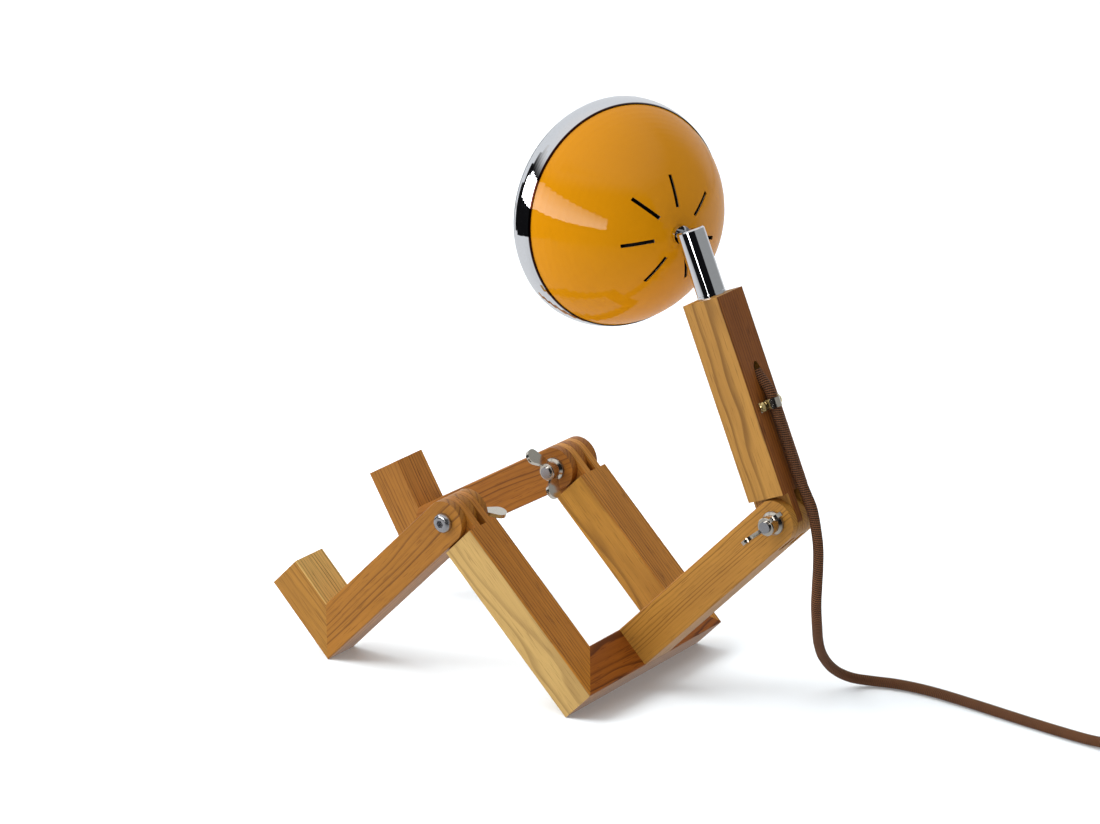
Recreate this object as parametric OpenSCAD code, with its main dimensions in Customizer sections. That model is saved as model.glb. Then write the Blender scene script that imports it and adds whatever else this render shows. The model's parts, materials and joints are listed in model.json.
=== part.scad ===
// Desk lamp shaped like a small seated robot: square wooden limbs on knuckle
// joints that wing nuts clamp, and a vented bowl head on a chrome neck.
// Millimetres, +Z up. The lamp faces -X, its left side is -Y, and the origin is
// on the table below the middle of the lamp's own box, its cord not counted.

/* [Wood] */
// Side of the square wooden members
section = 30; // [26:0.5:34]
// Width of the hip frame over both thighs
hip_width = 159; // [140:1:190]
// Thigh, from the outer face of the hip bar to the knee pivot
thigh_length = 154.5; // [130:0.5:180]
// Shin, from the knee pivot to the sole
shin_length = 162.5; // [140:0.5:190]
// Foot, from the heel to the toe
foot_length = 67; // [55:0.5:80]
// Lower torso, from the hip bar to the waist pivot
lower_torso_length = 161; // [130:0.5:180]
// Upper torso, from the waist pivot to its top
upper_torso_length = 153; // [130:0.5:175]
// Radius of the eased long edges
edge_ease = 1.2; // [0.6:0.1:2.5]

/* [Knuckle joints] */
// Gap between two neighbouring fingers
finger_gap = 0.3; // [0.2:0.05:0.8]
// Gap between a finger's round end and the shoulder behind it
shoulder_gap = 1.3; // [0.8:0.1:3]
// Shank diameter of the pivot bolts
bolt_diameter = 8; // [6:0.5:9]
// Head diameter of the pivot bolts
bolt_head_diameter = 14; // [12:0.5:16]
// Height of the bolt heads
bolt_head_height = 4.4; // [3.5:0.1:5.5]
// Washer diameter
washer_diameter = 16; // [15:0.5:20]
// Washer thickness
washer_thickness = 1.6; // [1:0.1:2.4]
// Tip to tip width of a wing nut
wing_span = 39; // [34:0.5:44]
// Hub diameter of a wing nut
wing_hub_diameter = 12.5; // [11:0.5:14]
// Hub height of a wing nut
wing_hub_height = 8.5; // [7:0.5:10]

/* [Pose] */
// Slope of the thighs above the table
thigh_slope = 46.3; // [40:0.1:55]
// Slope of the raised right shin below the level
right_shin_slope = 29; // [20:0.5:38]
// Slope of the upper torso above the level, leaning forward
torso_slope = 69.1; // [60:0.1:85]
// Turn of the neck towards the lamp's right
neck_turn = 24; // [0:1:40]
// Tilt of the head above square to the neck
head_tilt = 18; // [0:0.1:30]

/* [Neck] */
// Outer diameter of the neck tube
neck_diameter = 19.2; // [17:0.2:22]
// Wall of the neck tube
neck_wall = 1.5; // [1:0.1:2.5]
// Height of the neck's top above the torso
neck_height = 46.2; // [40:0.1:55]
// Distance of the ball joint below the neck's top
ball_drop = 6.5; // [6.2:0.1:8]
// Diameter of the ball
ball_diameter = 10.6; // [10:0.1:11.4]
// Diameter of the stem that carries the head
stem_diameter = 7; // [6:0.1:8]
// Height of the fixed collar under the tube
collar_height = 2.2; // [1.5:0.1:4]

/* [Head] */
// Distance from the ball's centre to the back of the bowl
head_offset = 16.2; // [15:0.1:22]
// Radius that the bowl's curve tends to
bowl_radius = 77.7; // [74:0.1:82]
// Depth that the bowl's curve tends to
bowl_depth = 78.6; // [74:0.1:84]
// Depth of the bowl at the seam with its ring
seam_depth = 65.7; // [60:0.1:69]
// Wall of the bowl
bowl_wall = 1.2; // [0.8:0.1:2]
// Wall of the ring
ring_wall = 1.2; // [0.8:0.1:2]
// How far the ring's widest line stands proud of the bowl's seam
ring_step = 3.3; // [2:0.1:4.5]
// Width of the ring's main band
ring_width = 16; // [12:0.5:20]
// Radius of the bead round the ring's front edge
ring_bead = 2.6; // [2:0.1:3.5]
// Number of vents round the back of the bowl
vent_count = 7; // [5:1:9]
// Width of a vent
vent_width = 2.6; // [1.5:0.1:3.5]
// Radius at which a vent starts
vent_inner = 17.3; // [15:0.1:20]
// Radius at which a vent ends
vent_outer = 37.2; // [32:0.1:45]
// Diameter of the bulb's globe
bulb_diameter = 45; // [38:1:50]

/* [Cord] */
// Diameter of the braided cord
cord_diameter = 7; // [5.5:0.1:7.5]
// Gap between the cord and the torso's back face
cord_lift = 0.6; // [0.5:0.1:1.5]
// Distance of the cord from the torso's middle line, towards the lamp's right
cord_side = 1.5; // [0:0.1:1.5]
// Height above the waist pivot at which the cord's centre passes into the torso
entry = 94; // [93:0.5:100]
// Distance of the cord clip above the waist pivot
clip_height = 75; // [60:1:75]

/* [Hidden] */

$fn = 64;
half = section / 2;
finger = section / 5;
shoulder = half + shoulder_gap;
far = 400;                       // longer than any member, for half-space cuts
fit = 0.05;                      // radial clearance of a running or seated fit
apart = 0.3;                     // gap between pieces that must not touch

// ---- Where the limbs are, before the origin is moved under the lamp
leg_y = hip_width / 2 - half;    // middle plane of the right leg
knee = [half * sin(thigh_slope) - thigh_length * cos(thigh_slope),
        half * cos(thigh_slope) + thigh_length * sin(thigh_slope)];
hip_floor = edge_low(thigh_slope);
function edge_low(slope) = edge_ease * (min([for (a = [0:30:90])
    (1 - cos(a)) * sin(slope) + (1 - sin(a)) * cos(slope)]));
// the left heel stands on the table: its eased corner is as low as the hip bar's
heel_ease = edge_ease * 0.6;     // leg of the small flat along the heel's edge
function heel_slope(down, side) = asin((knee[1] - hip_floor) / norm([down, side])) - atan2(side, down);
left_shin_slope = min(heel_slope(shin_length - heel_ease, half), heel_slope(shin_length, half - heel_ease));
waist = [(section + lower_torso_length) * sin(thigh_slope) - half * cos(thigh_slope),
         (section + lower_torso_length) * cos(thigh_slope) + half * sin(thigh_slope)];

// ---- The head's outline, along its own axis from the ball's centre
bowl_power = 1.63;
flat_radius = 7;                 // flat spot that the stem's flange seats on
function bowl_drop(r, a = bowl_radius, c = bowl_depth) =
    c * (1 - pow(1 - pow(r / a, bowl_power), 1 / bowl_power));
function bowl_reach(z, a = bowl_radius, c = bowl_depth) =
    a * pow(1 - pow(1 - z / c, bowl_power), 1 / bowl_power);
flat_depth = bowl_drop(flat_radius);
seam = head_offset + seam_depth - flat_depth;
seam_radius = bowl_reach(seam_depth);
rim_length = 6;                  // straight rim of the bowl inside the ring
ring_start = 0.7;                // step from the bowl to the ring at the seam
ring_radius = seam_radius + ring_step;
ring_wide = 0.84 * ring_width;   // where along the band it is widest
ring_lip = 7;                    // how far the ring's front turns in
bead_middle = ring_radius - 3.7; // radius of the bead's centre line
bead_place = seam + ring_width + 1.8;
ring_front = bead_place + ring_bead;

// ---- The origin: below the middle of the lamp's box
toe_x = knee[0] - shin_length * cos(right_shin_slope) - (foot_length - half) * sin(right_shin_slope);
back_x = waist[0] + half;
head_side = cos(head_tilt) * sin(neck_turn);
ring_y = max([for (p = concat(band(0, 8), bead(ring_bead)))
    p[1] * head_side + p[0] * sqrt(1 - head_side * head_side)]);
left_y = -hip_width / 2 - bolt_head_height;
base = [-(toe_x + back_x) / 2, -(left_y + ring_y) / 2, -hip_floor];

// ---- Joinery and hardware sizes
dowel_radius = 4;
dowel_length = 24;
bolt_radius = bolt_diameter / 2 - fit;
bolt_hole = bolt_diameter / 2 + fit;
hex_key = 5;
hex_depth = 2.6;
bolt_reach = section / 2 + washer_thickness + wing_hub_height + 1.5;
wing_thickness = 2.8;
wing_rise = 7;                   // how far the wing tips stand above the hub's base
wing_tip = 5.5;
left_wing_turn = 150;
right_wing_turn = -7;
waist_wing_turn = 4;

// ---- Neck sizes
neck_radius = neck_diameter / 2;
neck_bore = neck_radius - neck_wall;
cap_thickness = 1;
ball_z = neck_height - ball_drop;
ball_radius = ball_diameter / 2;
seat_below = 9;
stem_radius = stem_diameter / 2;
stem_bore = 2;
stem_slot = stem_diameter + 0.8;
slot_low = 2.8;                  // centre of the slot's round end, below the ball's centre
flange_radius = 6.2;
flange_thickness = 3.6;
collar_spigot = 12;
wire_hole = 4;

// ---- Head fittings, along the head's axis
holder_radius = 14;
holder_length = 30;
holder_wall = 2;
nut_thickness = 4;
nut_across = 12;
inner_back = head_offset + bowl_wall;
stem_end = inner_back + nut_thickness + 3;
holder_start = inner_back + nut_thickness + 0.1;
holder_floor = 5;
base_radius = 6.9;
base_length = 20;
globe_radius = bulb_diameter / 2;
globe_center = inner_back + nut_thickness + holder_length + globe_radius - 3;
bulb_neck = 9;
globe_wall = 0.8;

// ---- Cord
cord_radius = cord_diameter / 2;
clip_radius = cord_radius + 0.25;
hole_radius = cord_radius + 0.5;
cord_x = half + cord_radius + cord_lift;
hole_rise = upper_torso_length - 22 - entry;
entry_lean = atan2(half, hole_rise);
release = 26;                    // height at which the free cord starts
clip_wall = 1;
clip_width = 6.6;
clip_screw_head = 3.6;
clip_screw_rise = 2.3;
clip_screw_y = clip_radius + clip_wall + clip_screw_head + 0.25;
clip_foot = clip_screw_y + clip_screw_head;
screw_core = 1.5;

// Points beside the torso, measured from the table below the waist pivot:
// `back` behind its middle line and `up` along it, in the plane of the cord
function torso_point(back, up) = [
    back * sin(torso_slope) - up * cos(torso_slope), cord_side,
    base[2] + waist[1] + back * cos(torso_slope) + up * sin(torso_slope)
];
// Route of the free cord, from below the torso to the switch
ROUTE = [
    [22.6, 1.2, 136], [24.2, 0.8, 124], [24.2, 0.4, 111], [23.3, 0.3, 98], [21.8, 1.2, 83],
    [18.8, 6.6, 66.5], [12, 19, 48], [6, 34.5, 31.5], [4.4, 50.4, 17], [9, 64, 7.6],
    [20, 73.4, 4.1], [35, 78, 3.6], [52, 79.2, 3.6], [72, 78, 3.6], [98, 74.2, 3.6],
    [124, 69.8, 3.6], [150, 65.6, 3.6], [174, 62, 3.7], [194, 59.4, 4], [210, 57.8, 5.2],
    [224, 57, 6.6], [232, 57, 7]
];
route_start = [[cord_x, release], [cord_x + 0.4, 20], [cord_x + 1.4, 10], [cord_x + 2, 0]];
switch_start = [228, 57, 7];
switch_length = 58;
switch_width = 24;
switch_height = 14.6;
switch_wall = 1.8;
rocker_length = 17;
rocker_width = 9.5;
rocker_radius = 12;
turn_step = cord_diameter + 0.1; // from one turn of the coil to the next
coil_middle = 36;                // radius of the middle turn
tie_wall = 0.6;
coil_floor = tie_wall;
coil_z = coil_floor + cord_radius;
coil_outer = coil_middle + turn_step;
coil_center = [switch_start[0] + switch_length + 34, switch_start[1] - coil_outer];
TO_COIL = [
    [278, 57, 7], [286, 57, 7], [292, 57, 6.7], [298, 57, 5.9], [305, 56.7, 4.7], [312, 55.9, 4.1]
];
tail_turn = 126;
coil_top = coil_floor + turn_step + cord_diameter;
plug_thickness = 14;
plug_width = 26;
plug_length = 37;
pin_radius = 2;
pin_shank = 1.5;                 // radius of a pin inside the plug
pin_hold = 8;                    // length of a pin inside the plug
pin_length = 19;
pin_spread = 18.6;
plug_z = coil_top + plug_thickness / 2 + 0.1;
function ramp(u) = u <= 0 ? 0 : u >= 1 ? 1 : u * u * (3 - 2 * u);
function tail_point(u) = let(
    a = 90 - tail_turn * u,
    r = coil_outer - (coil_outer - coil_middle + 3.3) * ramp((u - 0.5) / 0.5),
    z = coil_z + turn_step + (plug_z - coil_z - turn_step) * ramp(u / 0.95)
) [coil_center[0] + r * cos(a), coil_center[1] + r * sin(a), z];
plug_angle = -tail_turn;         // heading of the plug, along the coil's last tangent

// ---- Frames of the moving bodies
module at_hips() translate(base) rotate([0, thigh_slope - 90, 0]) children();
module at_cord() translate([base[0] + waist[0], base[1], 0]) children();
module at_knee(side, slope)
    translate(base + [knee[0], side * leg_y, knee[1]]) rotate([0, -90 - slope, 0]) children();
module at_waist() translate(base + [waist[0], 0, waist[1]]) children();
module at_torso() at_waist() rotate([0, torso_slope - 90, 0]) children();
module at_neck() at_torso() translate([0, 0, upper_torso_length])
    rotate([0, 0, 180 - neck_turn]) children();
module at_head() at_neck() translate([0, 0, ball_z]) rotate([0, 90 - head_tilt, 0]) children();
// ---- Shapes that repeat
function eased_square(w, r) = [for (q = [0:3]) for (k = [0:3]) let(
    a = q * 90 + k * 30,
    sx = q == 0 || q == 3 ? 1 : -1,
    sy = q < 2 ? 1 : -1
) [sx * (w / 2 - r) + r * cos(a), sy * (w / 2 - r) + r * sin(a)]];

module prism(from, to)
    translate([0, 0, from]) linear_extrude(to - from) polygon(eased_square(section, edge_ease));

// side profile of a finger: a round end that runs back to the shoulder
module finger_profile() {
    circle(half, $fn = 96);
    translate([-half, 0]) square([section, shoulder + 1]);
}

// a member that starts at its pivot and runs along +Z, with the named fingers
module member(length, fingers) intersection() {
    union() {
        translate([-half, -half, shoulder]) cube([section, section, length - shoulder]);
        for (i = fingers) let(
            low = -half + i * finger + (i == 0 ? 0 : finger_gap / 2),
            high = -half + (i + 1) * finger - (i == 4 ? 0 : finger_gap / 2)
        ) translate([0, high, 0]) rotate([90, 0, 0]) linear_extrude(high - low) finger_profile();
    }
    prism(-half, length);
}

module pivot_hole() rotate([90, 0, 0]) cylinder(r = bolt_hole, h = section + 2, center = true);

// everything on the far side of a 45 degree mitre through the Y axis of its frame
module mitre_side() rotate([0, 45, 0]) translate([-far, -far, 0]) cube([2 * far, 2 * far, far]);

// dowel across a mitre, square to it, with its middle at the origin
module dowel(r, length) translate([0, 0, -length / 2]) cylinder(r = r, h = length, $fn = 32);

module bolt(turn) {
    difference() {
        union() {
            rotate([90, 0, 0]) translate([0, 0, -bolt_reach])
                cylinder(r = bolt_radius, h = bolt_reach + half);
            translate([0, -half, 0]) rotate([90, 0, 0]) bolt_head();
        }
        translate([0, -half - bolt_head_height + hex_depth, 0]) rotate([90, turn, 0])
            cylinder(d = hex_key / cos(30), h = hex_depth + 1, $fn = 6);
    }
}

// button head: a low dome on a short straight skirt
module bolt_head() rotate_extrude() polygon(concat([[0, 0], [bolt_head_diameter / 2, 0]],
    [for (k = [0:6]) let(a = k * 15) [
        3 + (bolt_head_diameter / 2 - 3) * cos(a * 0.85),
        0.7 + (bolt_head_height - 0.7) * sin(a)
    ]], [[0, bolt_head_height]]));

module washer() translate([0, half, 0]) rotate([-90, 0, 0]) difference() {
    cylinder(r = washer_diameter / 2, h = washer_thickness);
    translate([0, 0, -1]) cylinder(r = bolt_hole, h = washer_thickness + 2);
}

// outline of one wing in the plane of the bolt's axis
module wing_outline() hull() {
    translate([wing_hub_diameter / 2 - 1.5, 1.2]) square([1, wing_hub_height - 2.4]);
    translate([wing_span / 2 - wing_tip, wing_rise + wing_tip]) circle(wing_tip, $fn = 32);
}

module wing_nut(turn) translate([0, half + washer_thickness + fit, 0])
    rotate([-90, 0, 0]) rotate(turn) difference() {
    union() {
        cylinder(r1 = wing_hub_diameter / 2 + 1.5, r2 = wing_hub_diameter / 2, h = 1.6);
        translate([0, 0, 1.6]) cylinder(r = wing_hub_diameter / 2, h = wing_hub_height - 2.1);
        translate([0, 0, wing_hub_height - 0.5])
            cylinder(r1 = wing_hub_diameter / 2, r2 = wing_hub_diameter / 2 - 0.5, h = 0.5);
        for (side = [0, 180]) rotate(side) rotate([90, 0, 0])
            linear_extrude(wing_thickness, center = true) wing_outline();
    }
    translate([0, 0, -1]) cylinder(r = bolt_hole, h = far);
    for (side = [0, 180]) rotate(side)
        translate([wing_span / 2 - 8.2, -0.7, wing_rise + wing_tip * 2 - 1.6]) cube([2.6, 1.4, 4]);
}

// tube of the cord through a list of points
function ring_frame(points, i) = let(
    n = len(points) - 1,
    d = points[min(i + 1, n)] - points[max(i - 1, 0)],
    t = d / norm(d),
    s = abs(t[2]) > 0.9 ? cross(t, [1, 0, 0]) : cross(t, [0, 0, 1]),
    u = s / norm(s)
) [u, cross(u, t)];
function smooth(points, parts) = concat([for (i = [0:len(points) - 2]) for (k = [0:parts - 1]) let(
    n = len(points) - 1,
    a = points[max(i - 1, 0)], b = points[i], c = points[i + 1], d = points[min(i + 2, n)],
    u = k / parts
) 0.5 * (2 * b + (c - a) * u + (2 * a - 5 * b + 4 * c - d) * u * u
    + (3 * b - a - 3 * c + d) * u * u * u)], [points[len(points) - 1]]);
module tube(points, r, sides = 10) {
    m = len(points);
    polyhedron(
        [for (i = [0:m - 1]) let(f = ring_frame(points, i)) for (k = [0:sides - 1])
            points[i] + r * (cos(k * 360 / sides) * f[0] + sin(k * 360 / sides) * f[1])],
        concat(
            [[for (k = [0:sides - 1]) k]],
            [[for (k = [sides - 1:-1:0]) (m - 1) * sides + k]],
            [for (i = [0:m - 2]) for (k = [0:sides - 1]) let(j = (k + 1) % sides)
                each [[i * sides + k, (i + 1) * sides + k, i * sides + j],
                      [(i + 1) * sides + k, (i + 1) * sides + j, i * sides + j]]]
        ));
}

// ---- Hips: a U of three members, with the lower torso standing on its bar
module hip_corner() translate([half, hip_width / 2, 0]) rotate([0, 0, 90]) mitre_side();
module hip_dowel_places() for (side = [-1, 1]) for (x = [-half / 2, half / 2])
    translate([half + x, side * leg_y, half]) rotate([side * -45, 0, 0]) children();
module spine_dowel_places() for (y = [-half / 2, half / 2])
    translate([section, y, half]) rotate([0, 90, 0]) children();

module hip_bar() color("peru") at_hips() difference() {
    translate([half, hip_width / 2, half]) rotate([90, 0, 0]) prism(0, hip_width);
    for (m = [0, 1]) mirror([0, m, 0]) hip_corner();
    hip_dowel_places() dowel(dowel_radius + fit, dowel_length + 1);
    spine_dowel_places() dowel(dowel_radius + fit, dowel_length + 1);
}

module thigh(side) at_hips() mirror([0, side < 0 ? 1 : 0, 0]) difference() {
    intersection() {
        translate([half, leg_y, thigh_length]) rotate([180, 0, 0]) member(thigh_length, [1, 3]);
        hip_corner();
    }
    translate([half, leg_y, thigh_length]) pivot_hole();
    hip_dowel_places() dowel(dowel_radius + fit, dowel_length + 1);
}
module left_thigh() color("peru") thigh(-1);
module right_thigh() color("peru") thigh(1);
module hip_dowels() color("burlywood") at_hips() hip_dowel_places() dowel(dowel_radius, dowel_length);

module lower_torso() color("peru") at_hips() difference() {
    translate([section + lower_torso_length, 0, half]) rotate([0, -90, 0])
        member(lower_torso_length, [0, 2, 4]);
    translate([section + lower_torso_length, 0, half]) pivot_hole();
    spine_dowel_places() dowel(dowel_radius + fit, dowel_length + 1);
}
module spine_dowels() color("burlywood") at_hips() spine_dowel_places() dowel(dowel_radius, dowel_length);

// ---- Legs: a shin and a foot mitred together at the heel
module ankle_mitre() translate([-half, 0, shin_length]) mitre_side();
module ankle_dowel_places() for (y = [-half / 2, half / 2])
    translate([0, y, shin_length - half]) rotate([0, 45, 0]) children();
module heel_cut() translate([-half, 0, shin_length]) rotate([0, 45, 0])
    translate([-far, -far, -edge_ease * (sqrt(2) - 1)]) children();

module shin() difference() {
    member(shin_length, [0, 2, 4]);
    ankle_mitre();
    pivot_hole();
    ankle_dowel_places() dowel(dowel_radius + fit, dowel_length + 1);
}
module foot() difference() {
    intersection() {
        translate([-half, 0, shin_length - half]) rotate([0, 90, 0]) prism(0, foot_length);
        ankle_mitre();
    }
    ankle_dowel_places() dowel(dowel_radius + fit, dowel_length + 1);
}
module left_shin() color("peru") at_knee(-1, left_shin_slope) shin();
module left_foot() color("peru") at_knee(-1, left_shin_slope) foot();
module left_ankle_dowels() color("burlywood") at_knee(-1, left_shin_slope)
    ankle_dowel_places() dowel(dowel_radius, dowel_length);
module right_shin() color("peru") at_knee(1, right_shin_slope) shin();
module right_foot() color("peru") at_knee(1, right_shin_slope) foot();
module right_ankle_dowels() color("burlywood") at_knee(1, right_shin_slope)
    ankle_dowel_places() dowel(dowel_radius, dowel_length);

// ---- Pivots: a bolt from the outer side and a wing nut on the inner one
module left_knee_bolt() color("silver") at_knee(-1, left_shin_slope) bolt(10);
module left_knee_washer() color("silver") at_knee(-1, left_shin_slope) washer();
module left_knee_wing_nut() color("gainsboro") at_knee(-1, left_shin_slope) wing_nut(left_wing_turn);
module right_knee_bolt() color("silver") at_knee(1, right_shin_slope) mirror([0, 1, 0]) bolt(20);
module right_knee_washer() color("silver") at_knee(1, right_shin_slope) mirror([0, 1, 0]) washer();
module right_knee_wing_nut() color("gainsboro") at_knee(1, right_shin_slope)
    mirror([0, 1, 0]) wing_nut(right_wing_turn);
module at_waist_bolt() at_waist() rotate([0, -thigh_slope, 0]) mirror([0, 1, 0]) children();
module waist_bolt() color("silver") at_waist_bolt() bolt(0);
module waist_washer() color("silver") at_waist_bolt() washer();
module waist_wing_nut() color("gainsboro") at_waist_bolt() wing_nut(waist_wing_turn);

// ---- Upper torso, with a sloping hole that leads the cord up to the neck
module upper_torso() color("sienna") at_torso() difference() {
    member(upper_torso_length, [1, 3]);
    pivot_hole();
    cord_hole();
    translate([0, 0, upper_torso_length - collar_spigot]) cylinder(r = neck_bore - fit, h = far);
    translate([0, 0, upper_torso_length - collar_spigot - 16]) cylinder(r = wire_hole, h = far);
    clip_screw_places() translate([0, 0, -10]) cylinder(r = screw_core + fit, h = 10 + fit);
}
module cord_hole() translate([half, cord_side, entry]) rotate([0, -entry_lean, 0])
    translate([0, 0, -4 * cord_radius])
        cylinder(r = hole_radius, h = 4 * cord_radius + hole_rise / cos(entry_lean));
module clip_screw_places() for (side = [-1, 1])
    translate([half, cord_side + side * clip_screw_y, clip_height]) rotate([0, 90, 0]) children();

// a saddle over the cord, with a foot for a screw on either side
module saddle_outline(r) translate([0, cord_side]) {
    translate([cord_x, 0]) circle(r);
    translate([half - 1, -r]) square([cord_x - half + 1, 2 * r]);
}
module cord_clip() color("silver") at_torso() difference() {
    translate([0, 0, clip_height - clip_width / 2]) linear_extrude(clip_width) difference() {
        union() {
            saddle_outline(clip_radius + clip_wall);
            translate([half, cord_side - clip_foot]) square([clip_wall, 2 * clip_foot]);
        }
        saddle_outline(clip_radius);
        translate([half - far, -far / 2]) square([far, far]);
    }
    clip_screw_places() cylinder(r = screw_core + fit, h = 4 * clip_wall, center = true);
}
module clip_screw() color("khaki") at_torso() clip_screw_places() translate([0, 0, clip_wall])
    difference() {
        union() {
            translate([0, 0, -9]) cylinder(r = screw_core, h = 9.5);
            rotate_extrude() polygon(concat([[0, 0], [clip_screw_head, 0]],
                [for (k = [0:5]) let(a = k * 18) [
                    clip_screw_head * cos(a * 0.9),
                    0.5 + (clip_screw_rise - 0.5) * sin(a)]],
                [[0, clip_screw_rise]]));
        }
        translate([-far / 2, -0.45, clip_screw_rise - 0.9]) cube([far, 0.9, 2]);
    }

// ---- Neck: a chrome tube that turns on a collar and holds the ball
module neck_collar() color("silver") at_torso() translate([0, 0, upper_torso_length]) difference() {
    union() {
        translate([0, 0, -collar_spigot]) cylinder(r = neck_bore - 2 * fit, h = 2 * collar_spigot);
        cylinder(r = neck_radius + 0.2, h = collar_height);
    }
    translate([0, 0, -far / 2]) cylinder(r = wire_hole, h = far);
}
// slot for the stem, open at the top, with a round lower end
module stem_slot_cut(from) translate([0, 0, ball_z]) {
    translate([from, -stem_slot / 2, -slot_low]) cube([far, stem_slot, far]);
    translate([from, 0, -slot_low]) rotate([0, 90, 0]) cylinder(r = stem_slot / 2, h = far);
}
module neck_tube() color("gainsboro") at_neck() difference() {
    translate([0, 0, collar_height + apart])
        cylinder(r = neck_radius, h = neck_height - cap_thickness - collar_height - apart);
    cylinder(r = neck_bore, h = neck_height);
    stem_slot_cut(0);
}
module neck_cap() color("gainsboro") at_neck() difference() {
    translate([0, 0, neck_height - cap_thickness])
        cylinder(r1 = neck_radius, r2 = neck_radius - 0.8, h = cap_thickness);
    stem_slot_cut(-0.5);
}
module ball_seat() color("dimgray") at_neck() difference() {
    translate([0, 0, ball_z - seat_below])
        cylinder(r = neck_bore - fit, h = seat_below + ball_drop - cap_thickness);
    translate([0, 0, ball_z]) sphere(ball_radius + fit);
    cylinder(r = wire_hole, h = ball_z);
    stem_slot_cut(0);
    translate([0, 0, ball_z]) cylinder(r = ball_radius + fit, h = far);
}

// ---- Head
module head_stem() color("silver") at_head() difference() {
    union() {
        sphere(ball_radius);
        cylinder(r = stem_radius, h = stem_end);
        translate([0, 0, head_offset - flange_thickness]) cylinder(r = flange_radius, h = flange_thickness);
    }
    cylinder(r = stem_bore, h = far);
}
module stem_nut() color("silver") at_head() translate([0, 0, inner_back]) difference() {
    cylinder(d = nut_across / cos(30), h = nut_thickness, $fn = 6);
    translate([0, 0, -1]) cylinder(r = stem_radius + fit, h = nut_thickness + 2);
}

// points of the bowl's outline from its flat back to the seam
function bowl_points(a, c, shift, r0, z1, steps) = [for (i = [0:steps]) let(
    z0 = bowl_drop(r0, a, c),
    u = i / steps,
    z = z0 + (z1 - z0) * (0.25 * u + 0.75 * u * u)
) [bowl_reach(z, a, c), head_offset - flat_depth + z + shift]];

module head_bowl() color("darkorange") at_head() difference() {
    rotate_extrude($fn = 128) polygon(concat(
        [[stem_radius + fit, head_offset]],
        bowl_points(bowl_radius, bowl_depth, 0, flat_radius, seam_depth, 22),
        [[seam_radius, seam + rim_length], [seam_radius - bowl_wall, seam + rim_length]],
        [for (i = [22:-1:1]) bowl_points(bowl_radius - bowl_wall, bowl_depth - bowl_wall, bowl_wall,
            flat_radius, seam_depth - bowl_wall, 22)[i]],
        [[flat_radius, inner_back], [stem_radius + fit, inner_back]]
    ));
    for (i = [0:vent_count - 1]) rotate(180 + 13.7 + i * 360 / vent_count)
        translate([vent_inner, -vent_width / 2, head_offset - 1])
            cube([vent_outer - vent_inner, vent_width, bowl_depth / 2]);
}

// the ring's outline from the seam: a band that swells, a crease, and a bead round its front
function band(inset, last) = [for (k = [0:last]) let(
    w = ring_width * k / 8,
    r = ring_radius - (ring_step - ring_start) * pow((w - ring_wide) / ring_wide, 2) - inset
) [max(r, seam_radius + fit), seam + max(w, inset)]];
function bead(r) = [for (k = [0:8]) let(a = 15 * k - 30)
    [bead_middle + r * cos(a), bead_place + r * sin(a)]];
function reversed(list) = [for (k = [len(list) - 1:-1:0]) list[k]];
module head_ring() color("gainsboro") at_head() rotate_extrude($fn = 128) polygon(concat(
    [[seam_radius + fit, seam]], band(0, 8), bead(ring_bead),
    [[ring_radius - ring_lip, ring_front], [ring_radius - ring_lip, ring_front - ring_wall]],
    reversed(bead(ring_bead - ring_wall)), reversed(band(ring_wall, 7))
));

module lamp_holder() color("ivory") at_head() translate([0, 0, holder_start]) difference() {
    cylinder(r = holder_radius, h = holder_length);
    translate([0, 0, holder_floor]) cylinder(r = holder_radius - holder_wall, h = far);
    translate([0, 0, -1]) cylinder(r = stem_radius + fit, h = far);
}
module bulb_base() color("silver") at_head() translate([0, 0, holder_start + holder_floor])
    cylinder(r = base_radius, h = base_length);
// the bulb's globe: a thin shell, open at its neck
function globe_arc(r) = let(a0 = asin(bulb_neck / globe_radius)) [for (k = [0:22])
    let(a = a0 + (180 - a0) * k / 22) [r * sin(a), globe_center - r * cos(a)]];
module bulb_globe() color("white") at_head() rotate_extrude() polygon(concat(
    [[bulb_neck - globe_wall, holder_start + holder_floor + base_length],
     [bulb_neck, holder_start + holder_floor + base_length]],
    globe_arc(globe_radius),
    [for (i = [22:-1:0]) globe_arc(globe_radius - globe_wall)[i]]
));

// ---- Cord on the torso, from inside the wood to where it comes free
cord_bend = 4 * cord_diameter;   // radius of the cord's bend where it turns into the wood
bend_low = entry - (cord_x - half) / tan(entry_lean) - cord_bend * tan(entry_lean / 2);
function bend_point(a) = [cord_x - cord_bend * (1 - cos(a)), 0, bend_low + cord_bend * sin(a)];
module cord_in_torso() color("saddlebrown") at_torso() translate([0, cord_side, 0])
    tube(concat([for (z = [release + 0.7, clip_height - 20, clip_height]) [cord_x, 0, z]],
        [for (k = [0:3]) bend_point(k / 3 * entry_lean)],
        [bend_point(entry_lean) + 10 * [-sin(entry_lean), 0, cos(entry_lean)]]), cord_radius, 12);

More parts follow.
